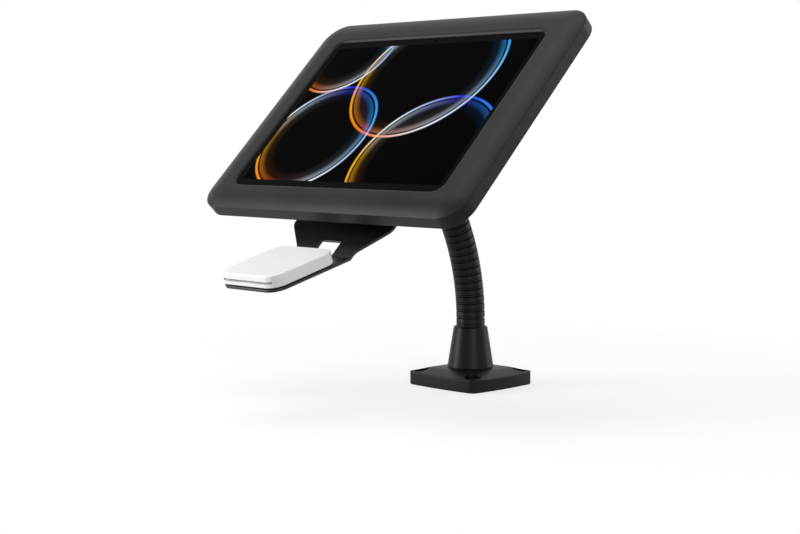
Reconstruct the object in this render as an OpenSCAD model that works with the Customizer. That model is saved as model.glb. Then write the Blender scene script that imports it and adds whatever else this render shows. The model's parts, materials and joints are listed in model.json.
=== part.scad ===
// Tablet security kiosk stand: a locked enclosure on a flexible neck, with a card reader on a bracket below.
// X runs to the right as the screen is read, -Y is the front, +Z is up. Lengths are in millimetres.
// The origin is the middle of the underside of the base plate.

/* [Base] */
// Width of the base plate across the middle of its sides
base_w = 82; // [72:0.5:110]
// How far each side of the base plate bulges outwards
base_bulge = 2; // [0.8:0.1:4]
// Corner radius of the base plate
base_corner_r = 6; // [4:0.5:10]
// Height of the base plate under the collar
base_h = 16; // [14:0.5:24]
// Height of the rim of the base plate
base_rim_h = 10.5; // [9:0.5:13]
// Spacing of the four fixing holes
base_hole_pitch = 60; // [50:0.5:61]
// Radius of a fixing hole
base_hole_r = 2.75; // [2:0.05:3.5]
// Radius of the counterbore of a fixing hole
base_counterbore_r = 7; // [5:0.1:7.6]
// Height of the floor of the counterbores
base_counterbore_z = 8; // [4:0.5:9]
// Depth of the nut recess in the underside
base_recess_h = 9; // [8:0.25:10]
// Radius of the nut recess
base_recess_r = 17.5; // [16.5:0.25:19]

/* [Collar] */
// Height of the tapered collar on the base
collar_h = 35.5; // [28:0.1:50]
// Radius of the collar at its foot
collar_foot_r = 20.25; // [18.5:0.25:24]
// Radius of the collar at its top
collar_top_r = 14.9; // [14.2:0.1:17]
// Rounding of the top edge of the collar
collar_edge_r = 1.6; // [0.6:0.1:2]
// Radius of the grub screw that locks the neck
grub_r = 2; // [1.5:0.1:3]
// Height of the grub screw above the foot of the collar
grub_z = 9; // [6:0.5:16]

/* [Neck] */
// Outer diameter of the neck
neck_d = 25; // [24:0.1:25.6]
// Number of rings in the neck
link_n = 24; // [24]
// Length of one ring along the neck
link_pitch = 6.63; // [6.4:0.01:7.2]
// Gap between the bands of two rings
link_gap = 0.96; // [0.9:0.02:1.2]
// Edge chamfer of a band
link_chamfer = 0.3; // [0.2:0.05:0.8]
// Forward bend of the whole neck as it is set
neck_bend = 45; // [30:1:55]
// Radius of the ball on a ring
ball_r = 10.5; // [10:0.1:10.6]
// Height of the ball above its centre
ball_h = 3.4; // [3:0.1:3.6]
// Clearance between a ball and its socket
ball_gap = 0.25; // [0.2:0.01:0.35]
// Depth of a socket above the ball's centre
socket_h = 4.4; // [4.3:0.05:4.6]
// Radius of the cable way through the neck
neck_bore_r = 6; // [4:0.25:7]
// Radius of the threaded stud under the neck
stud_r = 8; // [7.5:0.25:9]
// Length of the collar at the head of the neck
head_collar_h = 25.4; // [20:0.1:40]
// Radius of the collar at the head of the neck
head_collar_r = 15; // [14.5:0.25:18]
// Radius of its flange
head_flange_r = 26; // [24:0.5:30]
// Thickness of its flange
head_flange_t = 5; // [4:0.5:8]
// Radius of the circle of its four flange screws
flange_screw_circle_r = 20; // [18.5:0.25:21]

/* [Mounting plates] */
// Width of the square plate at the head of the neck
head_plate_w = 116; // [112:1:120]
// Thickness of that plate
head_plate_t = 4; // [3.5:0.25:6]
// Spacing of the four plate screws
plate_screw_pitch = 100; // [96:0.5:100]
// Radius of a plate screw
plate_screw_r = 2; // [1.5:0.1:2.5]
// Thickness of the reader bracket's sheet
bracket_t = 2.25; // [2:0.25:4]
// Distance from the enclosure's centre down to the shoulders of the bracket
bracket_shoulder_v = 103; // [96:0.5:108]
// Width of the bracket's tray
tray_w = 67.5; // [60:0.5:72]
// Distance from the enclosure's centre down to the bend of the bracket
bracket_bend_v = 133.6; // [132:0.2:150]
// Angle of the bend
bracket_bend = 30; // [20:1:40]
// Inner radius of the bend
bracket_bend_r = 1.5; // [1:0.25:3]
// Length of the tray in front of the bend
tray_l = 78.6; // [76:0.2:95]
// Radius of the front corners of the tray
tray_corner_r = 12; // [6:0.5:16]
// Width of the cable cut-out in the bracket
cutout_w = 23.2; // [16:0.2:30]
// Length of the cable cut-out above the bend
cutout_h = 15.8; // [10:0.2:17]

/* [Enclosure] */
// Width of the enclosure at its parting line
shell_w = 301.7; // [300:0.1:320]
// Height of the enclosure at its parting line
shell_h = 225.6; // [224:0.1:240]
// Plan radius of its corners at the parting line
shell_corner_r = 21.5; // [20.5:0.5:28]
// Depth of the straight sides of the rear shell
shell_side_h = 11; // [8:0.25:12]
// Depth of the bevel between the sides and the back
shell_bevel_h = 5; // [4.5:0.25:7]
// Width of that bevel
shell_bevel_w = 8; // [5:0.25:10]
// Thickness of the rear shell's walls and floor
shell_wall = 3; // [2:0.1:3.2]
// Height of the raised boss on the back
boss_h = 12.2; // [11:0.1:18]
// Width of the cable port in the rear shell
port_w = 24; // [18:0.5:30]
// Height of the cable port
port_h = 12; // [10:0.5:14]
// Distance from the enclosure's centre down to the cable port
port_v = 80; // [76:0.5:82]
// Width of the rounded outer edge of the front frame
frame_round_w = 18; // [10:0.25:20]
// Fall of the rounded edge from the frame's face to the parting line
frame_round_fall = 4.6; // [4:0.1:5.2]
// Height of the frame's face above the glass
frame_rise = 2.3; // [1.8:0.1:2.6]
// Width of the opening over the glass
window_w = 242.8; // [236:0.1:245]
// Height of the opening over the glass
window_h = 174.6; // [169:0.1:175.5]
// Corner radius of the opening
window_corner_r = 9.5; // [7:0.25:11]
// Width of the rounded edge round the opening
window_round_w = 3.2; // [2.6:0.1:3.6]
// Distance of the screen's centre below the enclosure's centre
screen_drop = 1.5; // [0:0.1:2]

/* [Tablet] */
// Thickness of the tablet
tablet_t = 5.3; // [5.2:0.05:6]
// Corner radius of the tablet
tablet_corner_r = 15; // [11:0.5:18]
// Thickness of the cover glass
glass_t = 0.8; // [0.6:0.05:1]
// Wall of the tablet's housing
tablet_wall = 2; // [1.5:0.1:2.4]
// Floor of the tablet's housing
tablet_floor = 1; // [0.8:0.05:1.1]
// Width of the display
display_w = 232.83; // [230:0.1:235]
// Height of the display
display_h = 160.48; // [158:0.1:161]
// Border of the tablet on the left and right of the display
border_w = 8.435; // [7.5:0.005:9.5]
// Border of the tablet above and below the display
border_h = 8.51; // [7.5:0.005:9.5]
// Thickness of the display panel
display_t = 1.2; // [1:0.05:1.3]
// Radius of the front camera
camera_r = 2.3; // [1.5:0.1:2.4]

/* [Card reader] */
// Width and length of the reader
reader_w = 67.5; // [62:0.5:72]
// Thickness of the reader
reader_t = 10; // [9.5:0.1:13]
// Corner radius of the reader
reader_corner_r = 12; // [9:0.5:16]
// Edge rounding of the reader
reader_edge_r = 1.2; // [1:0.1:2.2]
// Height of the seam between its two shells
reader_seam_z = 5.2; // [5.1:0.05:6]
// Wall of the reader's shells
reader_wall = 1.6; // [1.2:0.05:2]
// Width of the card slot
slot_w = 57.5; // [54.5:0.25:58]
// Height of the card slot
slot_h = 2.2; // [1:0.05:2.4]
// Thickness of the adhesive pad under the reader
reader_pad_t = 0.8; // [0.5:0.1:2]

/* [Lock] */
// Distance from the axis of the lock to the right side of the enclosure
lock_edge = 20.85; // [19.85:0.25:21.85]
// Radius of the lock's barrel
lock_barrel_r = 6; // [5.5:0.1:6.5]
// Radius of the turning plug
lock_plug_r = 4; // [3.5:0.1:4.4]
// Radius of the lock's flange on the back
lock_flange_r = 8; // [7:0.25:8.5]
// Length of the cam from the axis to its tip
cam_l = 13.5; // [11:0.25:15]
// Width of the cam
cam_w = 8; // [7:0.25:9]
// Thickness of the cam
cam_t = 1.5; // [1:0.1:2]

/* [Clearances] */
// Radial clearance of a turning or threaded fit
fit_gap = 0.05; // [0.02:0.01:0.1]
// Clearance of a screw in its through hole, and of parts that are slipped together
slip_gap = 0.25; // [0.15:0.05:0.4]
// Clearance round a button in its slot
button_gap = 0.15; // [0.1:0.01:0.2]

/* [Hidden] */
$fn = 64;
cut = 1;

// Colours
charcoal = "#45474a";
black_steel = "#2b2c2c";
bright_steel = "#9a9c9e";
brass = "#b08d4a";
foam = "#3a3a3c";
white_plastic = "#eeefee";
board_green = "#2d5a3c";
cell_grey = "#5b5d60";
tablet_metal = "#6d6f72";
glass_black = "#0c0c0d";
panel_black = "#15161a";

// Neck: every ring leans a little further forward than the one below it
neck_r = neck_d / 2;
link_step = neck_bend / (link_n - 1);
collar_clear = 0.8;
plug_clear = 1;
neck_z = base_h + collar_h + collar_clear;
function link_lean(k) = (k - 1) * link_step;
function link_reach(k) = [0, -sin(link_lean(k)), cos(link_lean(k))] * link_pitch;
function pivot(k) = k == 0 ? [0, 0, neck_z] : pivot(k - 1) + link_reach(k);
function link_name(k) = str("neck_link_", k < 10 ? "0" : "", k);

// Outline of the tablet
tablet_w = display_w + 2 * border_w;
tablet_h = display_h + 2 * border_h;

// Heights in the head, counted from the front of the glass along the screen's normal
z_part = frame_rise - frame_round_fall;
z_side = z_part - shell_side_h;
z_back = z_side - shell_bevel_h;
z_floor = z_back + shell_wall;
z_boss = z_back - boss_h;
z_boss_floor = z_boss + shell_wall;
z_bracket_back = z_boss - bracket_t;
z_plate_back = z_bracket_back - head_plate_t;
z_neck_end = z_plate_back - head_collar_h;
z_tablet_back = -tablet_t;
head_normal = [0, -sin(neck_bend), cos(neck_bend)];
head_origin = pivot(link_n) - head_normal * z_neck_end;

// Rounded edges are arcs that start level with the face they leave
function arc_r(width, fall) = (width * width + fall * fall) / (2 * fall);
frame_round_r = arc_r(frame_round_w, frame_round_fall);
window_round_r = arc_r(window_round_w, frame_rise);

// Outline of the base: four shallow arcs with rounded corners
base_half = base_w / 2;
base_chord = base_half - base_corner_r;
base_side_r = (base_chord * base_chord + base_bulge * base_bulge) / (2 * base_bulge);
base_side_c = base_side_r - base_half;
base_corner_c = (sqrt(2 * pow(base_side_r - base_corner_r, 2) - pow(base_side_c, 2)) - base_side_c) / 2;
base_corner_a = atan2(base_corner_c, base_corner_c + base_side_c);
function arc_point(c, r, a) = c + r * [cos(a), sin(a)];
function arc_points(c, r, a0, a1, n) = [for (i = [0 : n]) arc_point(c, r, a0 + (a1 - a0) * i / n)];
function turned(p, a) = [p.x * cos(a) - p.y * sin(a), p.x * sin(a) + p.y * cos(a)];
pillow_z = (pow(collar_foot_r, 2) + pow(base_h, 2) - pow(base_half, 2) - pow(base_rim_h, 2))
    / (2 * (base_h - base_rim_h));
pillow_r = sqrt(pow(collar_foot_r, 2) + pow(base_h - pillow_z, 2));
washer_t = 2;
nut_h = 6;
nut_flats = 24;
washer_r = 15;
stud_proud = 0.2;
grub_sunk = 1;
base_stud_z = base_recess_h - washer_t - nut_h - stud_proud;

// Plate and flange screws
plate_corner_r = 10;
screw_head_r = 3.6;
screw_head_h = 2.6;
insert_r = 3;
insert_l = 8;
post_r = 6;
flange_screw_r = 1.6;
flange_screw_head_r = 3.2;
flange_head_h = flange_screw_head_r - flange_screw_r;
flange_screw_short = 0.5;
insert_spare = 1;
screw_drive_r = 1.4;
screw_drive_h = 1.6;
shoulder_r = 10;
shoulder_fillet_r = 8;
strip_lap = 4;
bend_tangent = bracket_bend_r * tan(bracket_bend / 2);

// Enclosure details
boss_w = head_plate_w;
boss_inner_w = boss_w - 2 * shell_wall;
rail_t = 3;
rail_l = 50;
rail_gap = 0.5;
rail_sunk = 1;
rail_top = -rail_sunk;
rail_offset = 40;
pad_w = 40;
pad_h = 24;
pad_u = 85;
pad_v = 55;

// Lock and the catches that hold the frame
lock_u = shell_w / 2 - lock_edge;
cam_drop = 7.2;
cam_z = z_part - cam_drop;
cam_clear = 0.3;
lock_head_t = 2;
lock_nut_t = 3;
lock_nut_flats = 14;
lock_barrel_top = cam_z - cam_clear;
tang_w = 1.1 * lock_plug_r;
key_slot_w = 1.2;
key_slot_h = 8;
catch_t = 2.5;
catch_w = 5;
catch_clear = 1.65;
catch_u = tablet_w / 2 + catch_clear;
catch_gap = 0.7;
catch_near = 2;
catch_far = 1;
hook_v = 80;
hook_w = 16;
hook_u = catch_u;
hook_foot = 5;
ledge_t = 2.5;
ledge_clear = 1;
hook_foot_z = cam_z - catch_gap;

// Buttons
button_l = 11;
button_h = 2.2;
button_proud = 0.5;
button_inside = 0.6;
tablet_button_z = (z_tablet_back - glass_t) / 2;
power_button_v = 52;
volume_button_u = [72, 88];
reader_button_l = 8;
reader_button_h = 2;
reader_button_z = 3.1;

// Tablet insides
battery_w = 190;
battery_h = 92;
battery_drop = 20;
board_w = 190;
board_h = 34;
board_v = 52;
cells_gap = 0.1;
z_cells_top = -glass_t - display_t - cells_gap;
z_cells_back = z_tablet_back + tablet_floor;
display_corner_r = 4;
camera_v = (display_h / 2 + tablet_h / 2 - tablet_wall) / 2;

// Reader insides
reader_board_l = 24;
reader_board_t = 1;
reader_cell_l = 24;
reader_cell_w = 40;
reader_cell_t = 3;
reader_floor = 1.2;
usb_w = 9;
usb_l = 7;
usb_h = 2.8;
usb_inset = 0.6;
usb_wall = 0.4;
usb_back = 1;
usb_z = reader_floor + reader_board_t;
reader_cell_gap = 3;
reader_board_side = 1;
reader_board_gap = 0.3;
pad_margin = 5;

// Frames of reference

module at_link(k) {
    translate(pivot(k - 1)) rotate([link_lean(k), 0, 0]) children();
}

// Origin at the middle of the enclosure, level with the glass, X right, Y up the screen, Z out of the glass
module at_head() {
    translate(head_origin) rotate([neck_bend, 0, 0]) children();
}

// Origin at the middle of the glass
module at_tablet() {
    at_head() below_centre() children();
}

// Lowers what belongs to the tablet from the enclosure's centre to the screen's
module below_centre() {
    translate([0, -screen_drop, 0]) children();
}

// Origin on the bend line, Y back along the tray, Z out of its upper face
module at_tray() {
    at_head() translate([0, -bracket_bend_v, z_boss]) rotate([-bracket_bend, 0, 0]) children();
}

// Origin under the middle of the reader
module at_reader() {
    at_tray() translate([0, reader_w / 2 - tray_l, reader_pad_t]) children();
}

// Origin on the lock's axis at the level of the glass
module at_lock() {
    at_head() translate([lock_u, 0, 0]) children();
}

// Shared shapes

// Rectangle with rounded corners
module rounded_rect(w, h, r) {
    square([w - 2 * r, h], center = true);
    square([w, h - 2 * r], center = true);
    for (x = [-1, 1], y = [-1, 1]) translate([x * (w / 2 - r), y * (h / 2 - r)]) circle(r);
}

// Slab with rounded corners between two heights
module rounded_slab(w, h, r, z0, z1) {
    translate([0, 0, z0]) linear_extrude(height = z1 - z0) rounded_rect(w, h, r);
}

// Carries an edge section round a rounded rectangle; the section's X starts at the corner's centre
module swept_edge(w, h, r) {
    for (q = [0 : 3]) {
        reach = q % 2 == 0 ? w : h;
        run = q % 2 == 0 ? h : w;
        rotate(90 * q) translate([reach / 2 - r, 0, 0]) {
            rotate([90, 0, 0]) linear_extrude(height = run - 2 * r, center = true) children();
            translate([0, run / 2 - r, 0]) rotate_extrude(angle = 90) children();
        }
    }
}

// Solid with such an edge, filled across the middle
module edged_block(w, h, r, z0, z1) {
    swept_edge(w, h, r) children();
    translate([r - w / 2, r - h / 2, z0]) cube([w - 2 * r, h - 2 * r, z1 - z0]);
}

// Section of an edge that is flat and then falls away in an arc to its rim
module crowned_section(r, round_w, round_r, z0, z1) {
    translate([0, z0]) square([r - round_w, z1 - z0]);
    intersection() {
        translate([r - round_w, z0]) square([round_w + cut, z1 - z0]);
        translate([r - round_w, z1 - round_r]) circle(round_r, $fn = 180);
    }
}

// Section of the rear shell's edge: a straight side and a bevel, drawn in by a wall's thickness
module shell_section(wall, z1) {
    r = shell_corner_r - wall;
    slope = atan2(shell_bevel_h, shell_bevel_w);
    polygon([
        [0, z_back + wall],
        [r - shell_bevel_w + wall - wall * tan(slope / 2), z_back + wall],
        [r, z_side + wall * tan(45 - slope / 2)],
        [r, z1],
        [0, z1]
    ]);
}

// Puts something at the four corners of a square pattern
module at_corners(pitch) {
    for (x = [-1, 1], y = [-1, 1]) translate([x * pitch / 2, y * pitch / 2, 0]) children();
}

module tube(r_out, r_in, h) {
    difference() {
        cylinder(r = r_out, h = h);
        translate([0, 0, -cut]) cylinder(r = r_in, h = h + 2 * cut);
    }
}

module hex_nut(flats, r_in, h) {
    difference() {
        cylinder(d = flats / cos(30), h = h, $fn = 6);
        translate([0, 0, -cut]) cylinder(r = r_in, h = h + 2 * cut);
    }
}

// Slot with round ends, long way along X, standing on z = 0
module pill(l, w, h) {
    linear_extrude(height = h) {
        square([l - w, w], center = true);
        for (x = [-1, 1]) translate([x * (l - w) / 2, 0]) circle(d = w);
    }
}

// Base

module base_outline() {
    side = arc_points([-base_side_c, 0], base_side_r, -base_corner_a, base_corner_a, 10);
    corner = arc_points([1, 1] * base_corner_c, base_corner_r, base_corner_a, 90 - base_corner_a, 8);
    quarter = concat(side, [for (i = [1 : len(corner) - 2]) corner[i]]);
    polygon([for (q = [0 : 3], p = quarter) turned(p, 90 * q)]);
}

module base_plate() color(black_steel) difference() {
    intersection() {
        linear_extrude(height = base_h) base_outline();
        translate([0, 0, pillow_z]) rotate([90, 0, 0])
            cylinder(r = pillow_r, h = 2 * base_w, center = true, $fn = 360);
        translate([0, 0, pillow_z]) rotate([0, 90, 0])
            cylinder(r = pillow_r, h = 2 * base_w, center = true, $fn = 360);
    }
    at_corners(base_hole_pitch) {
        translate([0, 0, -cut]) cylinder(r = base_hole_r, h = base_h);
        translate([0, 0, base_counterbore_z]) cylinder(r = base_counterbore_r, h = base_h);
    }
    translate([0, 0, -cut]) cylinder(r = base_recess_r, h = base_recess_h + cut);
    cylinder(r = stud_r + slip_gap, h = base_h + cut);
}

module base_collar() color(black_steel) difference() {
    translate([0, 0, base_h]) rotate_extrude() collar_section();
    translate([0, 0, base_h + grub_z]) rotate([-90, 0, 0])
        cylinder(r = grub_r + fit_gap, h = 2 * collar_foot_r);
}

module collar_section() {
    bore = neck_r + fit_gap;
    polygon([
        [bore, 0],
        [collar_foot_r, 0],
        [collar_top_r, collar_h - collar_edge_r],
        [collar_top_r - collar_edge_r, collar_h],
        [bore, collar_h]
    ]);
    intersection() {
        translate([collar_top_r - collar_edge_r, collar_h - collar_edge_r]) circle(collar_edge_r);
        translate([bore, 0]) square([collar_foot_r, collar_h]);
    }
}

// Hollow stud with a shoulder that stands on the base plate and carries the first ring
module neck_lower_fitting() color(bright_steel) rotate_extrude() {
    translate([neck_bore_r, base_stud_z]) square([stud_r - neck_bore_r, base_h - base_stud_z]);
    translate([neck_bore_r, base_h]) square([neck_r - neck_bore_r, neck_z + link_gap / 2 - base_h]);
    translate([neck_bore_r, base_h]) square([ball_r - plug_clear - neck_bore_r, neck_z + ball_h - base_h]);
}

module base_washer() color(bright_steel)
    translate([0, 0, base_recess_h - washer_t]) tube(washer_r, stud_r + slip_gap, washer_t);

module base_nut() color(bright_steel)
    translate([0, 0, base_recess_h - washer_t - nut_h]) hex_nut(nut_flats, stud_r + fit_gap, nut_h);

module collar_grub_screw() color(bright_steel) {
    tip = neck_r + fit_gap;
    tail = collar_foot_r - (collar_foot_r - collar_top_r) * grub_z / collar_h - grub_sunk;
    translate([0, tip, base_h + grub_z]) rotate([-90, 0, 0]) difference() {
        cylinder(r = grub_r, h = tail - tip);
        translate([0, 0, tail - tip - grub_r]) cylinder(r = grub_r / 2, h = grub_r + cut, $fn = 6);
    }
}

// Neck

// Half section of a ring: a band, a ball above it and a socket below
module link_section() {
    top = link_pitch - link_gap / 2;
    foot = link_gap / 2;
    difference() {
        union() {
            polygon([
                [neck_bore_r, foot],
                [neck_r - link_chamfer, foot],
                [neck_r, foot + link_chamfer],
                [neck_r, top - link_chamfer],
                [neck_r - link_chamfer, top],
                [neck_bore_r, top]
            ]);
            intersection() {
                translate([0, link_pitch]) circle(ball_r);
                translate([neck_bore_r, link_pitch - link_gap]) square([ball_r, link_gap + ball_h]);
            }
        }
        intersection() {
            circle(ball_r + ball_gap);
            translate([0, -cut]) square([neck_r, socket_h + cut]);
        }
    }
}

module neck_link(k) color(black_steel) at_link(k) rotate_extrude() link_section();

// Socket for the last ring, with a flange that is screwed to the head plate
module head_collar() color(black_steel) at_head() difference() {
    translate([0, 0, z_neck_end]) rotate_extrude() difference() {
        union() {
            translate([neck_bore_r, -link_gap / 2])
                square([head_collar_r - neck_bore_r, head_collar_h + link_gap / 2]);
            translate([neck_bore_r, head_collar_h - head_flange_t])
                square([head_flange_r - neck_bore_r, head_flange_t]);
        }
        intersection() {
            circle(ball_r + ball_gap);
            translate([0, -link_gap - cut]) square([neck_r, socket_h + link_gap + cut]);
        }
    }
    translate([0, 0, z_plate_back - head_flange_t - cut]) flange_holes()
        cylinder(r = flange_screw_r + fit_gap, h = head_flange_t + 2 * cut);
}

module flange_holes() {
    for (a = [45 : 90 : 315]) rotate(a) translate([flange_screw_circle_r, 0, 0]) children();
}

// Mounting plates

module head_plate() color(black_steel) at_head() difference() {
    rounded_slab(head_plate_w, head_plate_w, plate_corner_r, z_plate_back, z_bracket_back);
    translate([0, 0, z_plate_back - cut]) {
        at_corners(plate_screw_pitch) cylinder(r = plate_screw_r + slip_gap, h = head_plate_t + 2 * cut);
        cylinder(r = neck_bore_r, h = head_plate_t + 2 * cut);
        flange_holes() cylinder(r = flange_screw_r + slip_gap, h = head_plate_t + 2 * cut);
    }
    translate([0, 0, z_bracket_back - flange_head_h]) flange_holes()
        cylinder(r1 = flange_screw_r + slip_gap, r2 = flange_screw_head_r + slip_gap, h = flange_head_h);
}

module flange_screws() color(bright_steel) at_head() flange_holes() {
    translate([0, 0, z_plate_back - head_flange_t + flange_screw_short])
        cylinder(r = flange_screw_r, h = head_plate_t + head_flange_t - flange_screw_short - flange_head_h);
    translate([0, 0, z_bracket_back - flange_head_h])
        cylinder(r1 = flange_screw_r, r2 = flange_screw_head_r, h = flange_head_h);
}

module plate_screws() color(bright_steel) at_head() at_corners(plate_screw_pitch) difference() {
    union() {
        translate([0, 0, z_plate_back - screw_head_h]) cylinder(r = screw_head_r, h = screw_head_h);
        translate([0, 0, z_plate_back])
            cylinder(r = plate_screw_r, h = z_boss_floor + insert_l - insert_spare - z_plate_back);
    }
    translate([0, 0, z_plate_back - screw_head_h - cut])
        cylinder(r = screw_drive_r, h = screw_drive_h + cut, $fn = 6);
}

module plate_inserts() color(brass) at_head() at_corners(plate_screw_pitch)
    translate([0, 0, z_boss_floor]) tube(insert_r, plate_screw_r + fit_gap, insert_l);

// Upper plate of the bracket: straight sides, rounded shoulders, slants and hollow fillets
module bracket_outline() {
    half = head_plate_w / 2;
    corner_c = half - plate_corner_r;
    shoulder_t = shoulder_r * tan(22.5);
    fillet_t = shoulder_fillet_r * tan(22.5);
    foot_v = -bracket_shoulder_v - half + tray_w / 2;
    right = concat(
        arc_points([corner_c, corner_c], plate_corner_r, 90, 0, 12),
        arc_points([half - shoulder_r, shoulder_t - bracket_shoulder_v], shoulder_r, 0, -45, 8),
        arc_points([tray_w / 2 + shoulder_fillet_r, foot_v - fillet_t], shoulder_fillet_r, 135, 180, 8),
        [[tray_w / 2, strip_lap / 2 - bracket_bend_v]]
    );
    left = [for (i = [len(right) - 1 : -1 : 0]) [-right[i].x, right[i].y]];
    polygon(concat(right, left));
}

// Tray in front of the bend, with rounded front corners
module tray_outline() {
    back = -strip_lap / 2;
    translate([-tray_w / 2, tray_corner_r - tray_l]) square([tray_w, back + tray_l - tray_corner_r]);
    translate([tray_corner_r - tray_w / 2, -tray_l]) square([tray_w - 2 * tray_corner_r, back + tray_l]);
    translate([0, tray_corner_r - tray_l])
        for (x = [-1, 1]) translate([x * (tray_w / 2 - tray_corner_r), 0]) circle(tray_corner_r);
}

// Bent strip between plate and tray, seen from the side: X up the screen, Y out of the glass
module strip_profile() {
    bend_c = [bend_tangent - bracket_bend_v, z_boss + bracket_bend_r];
    bend_line = [-bracket_bend_v, z_boss];
    strip_top = strip_lap - bracket_bend_v;
    polygon(concat(
        [[strip_top, z_bracket_back], [strip_top, z_boss]],
        arc_points(bend_c, bracket_bend_r, -90, -90 - bracket_bend, 4),
        [for (y = [0, -bracket_t]) bend_line + turned([-strip_lap, y], -bracket_bend)],
        arc_points(bend_c, bracket_bend_r + bracket_t, -90 - bracket_bend, -90, 4)
    ));
}

// Sheet bent once: an upper plate behind the enclosure and a tray in front of the bend
module reader_bracket() color(black_steel) difference() {
    union() {
        at_head() translate([0, 0, z_bracket_back]) linear_extrude(height = bracket_t) bracket_outline();
        at_head() rotate([90, 0, 90]) linear_extrude(height = tray_w, center = true) strip_profile();
        at_tray() translate([0, 0, -bracket_t]) linear_extrude(height = bracket_t) tray_outline();
    }
    at_head() {
        translate([-cutout_w / 2, -bracket_bend_v - cutout_h / 2, z_bracket_back - cutout_h])
            cube([cutout_w, 1.5 * cutout_h, 2 * cutout_h]);
        translate([0, 0, z_bracket_back - cut]) {
            at_corners(plate_screw_pitch) cylinder(r = plate_screw_r + slip_gap, h = bracket_t + 2 * cut);
            cylinder(r = neck_bore_r, h = bracket_t + 2 * cut);
        }
    }
}

// Card reader

module reader_pad() color(foam) at_reader() {
    side = reader_w - 2 * pad_margin;
    rounded_slab(side, side, reader_corner_r - pad_margin, -reader_pad_t, 0);
}

// Section of one shell's edge: a wall that ends in a rounded edge away from the seam
module reader_edge(z_seam, z_face) {
    r = reader_corner_r;
    up = z_face > z_seam ? 1 : -1;
    low = min(z_seam, z_face);
    translate([0, low]) square([r - reader_edge_r, abs(z_face - z_seam)]);
    translate([0, min(z_seam, z_face - up * reader_edge_r)])
        square([r, abs(z_face - z_seam) - reader_edge_r]);
    translate([r - reader_edge_r, z_face - up * reader_edge_r]) circle(reader_edge_r);
}

module reader_hollow(z0, z1) {
    inner = reader_w - 2 * reader_wall;
    rounded_slab(inner, inner, reader_corner_r - reader_wall, z0, z1);
}

module reader_bottom_shell() color(white_plastic) at_reader() difference() {
    edged_block(reader_w, reader_w, reader_corner_r, 0, reader_seam_z) reader_edge(reader_seam_z, 0);
    reader_hollow(reader_floor, reader_seam_z + cut);
    translate([0, reader_w / 2 + cut, usb_z + usb_h / 2]) rotate([90, 0, 0])
        pill(usb_w + slip_gap, usb_h + slip_gap, reader_wall + 2 * cut);
    translate([-reader_w / 2 - cut, 0, reader_button_z]) rotate([0, 90, 0]) rotate(90)
        pill(reader_button_l + 2 * button_gap, reader_button_h + 2 * button_gap, reader_wall + 2 * cut);
    translate([-slot_w / 2, -reader_w / 2 - cut, reader_seam_z - slot_h])
        cube([slot_w, reader_corner_r, slot_h + cut]);
}

module reader_top_shell() color(white_plastic) at_reader() difference() {
    edged_block(reader_w, reader_w, reader_corner_r, reader_seam_z, reader_t)
        reader_edge(reader_seam_z, reader_t);
    reader_hollow(reader_seam_z - cut, reader_t - reader_floor);
}

module reader_board() color(board_green) at_reader() {
    board = slot_w - 2 * reader_board_side;
    back = reader_w / 2 - reader_wall - reader_board_gap;
    translate([-board / 2, back - reader_board_l, reader_floor]) difference() {
        cube([board, reader_board_l, reader_board_t]);
        for (x = [0, board]) translate([x, reader_board_l, -cut])
            cylinder(r = reader_corner_r - reader_wall, h = reader_board_t + 2 * cut);
    }
}

module reader_battery() color(cell_grey) at_reader()
    translate([-reader_cell_w / 2, reader_wall + reader_cell_gap - reader_w / 2, reader_floor])
        cube([reader_cell_w, reader_cell_l, reader_cell_t]);

module reader_usb_socket() color(bright_steel) at_reader()
    translate([0, reader_w / 2 - usb_inset, usb_z + usb_h / 2]) rotate([90, 0, 0]) difference() {
        pill(usb_w, usb_h, usb_l);
        translate([0, 0, -cut]) pill(usb_w - 2 * usb_wall, usb_h - 2 * usb_wall, usb_l - usb_back + cut);
    }

module reader_button() color(white_plastic) at_reader()
    translate([-reader_w / 2 - button_proud, 0, reader_button_z]) rotate([0, 90, 0]) rotate(90)
        pill(reader_button_l, reader_button_h, button_proud + reader_wall + button_inside);

// Enclosure

module rear_shell() color(charcoal) at_head() difference() {
    union() {
        difference() {
            edged_block(shell_w, shell_h, shell_corner_r, z_back, z_part) shell_section(0, z_part);
            edged_block(shell_w, shell_h, shell_corner_r, z_floor, z_part + cut)
                shell_section(shell_wall, z_part + cut);
        }
        rounded_slab(boss_w, boss_w, plate_corner_r, z_boss, z_floor);
        below_centre() shell_rails();
        for (v = [-hook_v, hook_v]) hook_ledge(v);
    }
    difference() {
        rounded_slab(boss_inner_w, boss_inner_w, plate_corner_r - shell_wall, z_boss_floor, z_floor + cut);
        at_corners(plate_screw_pitch) translate([0, 0, z_boss]) cylinder(r = post_r, h = boss_h + shell_wall);
    }
    at_corners(plate_screw_pitch) {
        translate([0, 0, z_boss - cut]) cylinder(r = plate_screw_r + slip_gap, h = shell_wall + 2 * cut);
        translate([0, 0, z_boss_floor]) cylinder(r = insert_r + fit_gap, h = boss_h + cut);
    }
    translate([0, 0, z_boss - cut]) cylinder(r = neck_bore_r, h = shell_wall + 2 * cut);
    translate([0, -port_v, z_back - cut]) pill(port_w, port_h, shell_wall + 2 * cut);
    translate([lock_u, 0, z_back - cut]) cylinder(r = lock_barrel_r + slip_gap, h = shell_wall + 2 * cut);
}

// Rails on the floor that hold the tablet by its edges
module shell_rails() {
    rise = rail_top - z_floor;
    for (s = [-1, 1]) {
        translate([s * (tablet_w + rail_t + 2 * rail_gap) / 2, -rail_offset, z_floor + rise / 2])
            cube([rail_t, rail_l, rise], center = true);
        translate([0, s * (tablet_h + rail_t + 2 * rail_gap) / 2, z_floor + rise / 2]) {
            for (t = [-1, 1]) translate([t * rail_offset, 0, 0]) cube([rail_l, rail_t, rise], center = true);
        }
    }
}

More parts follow.
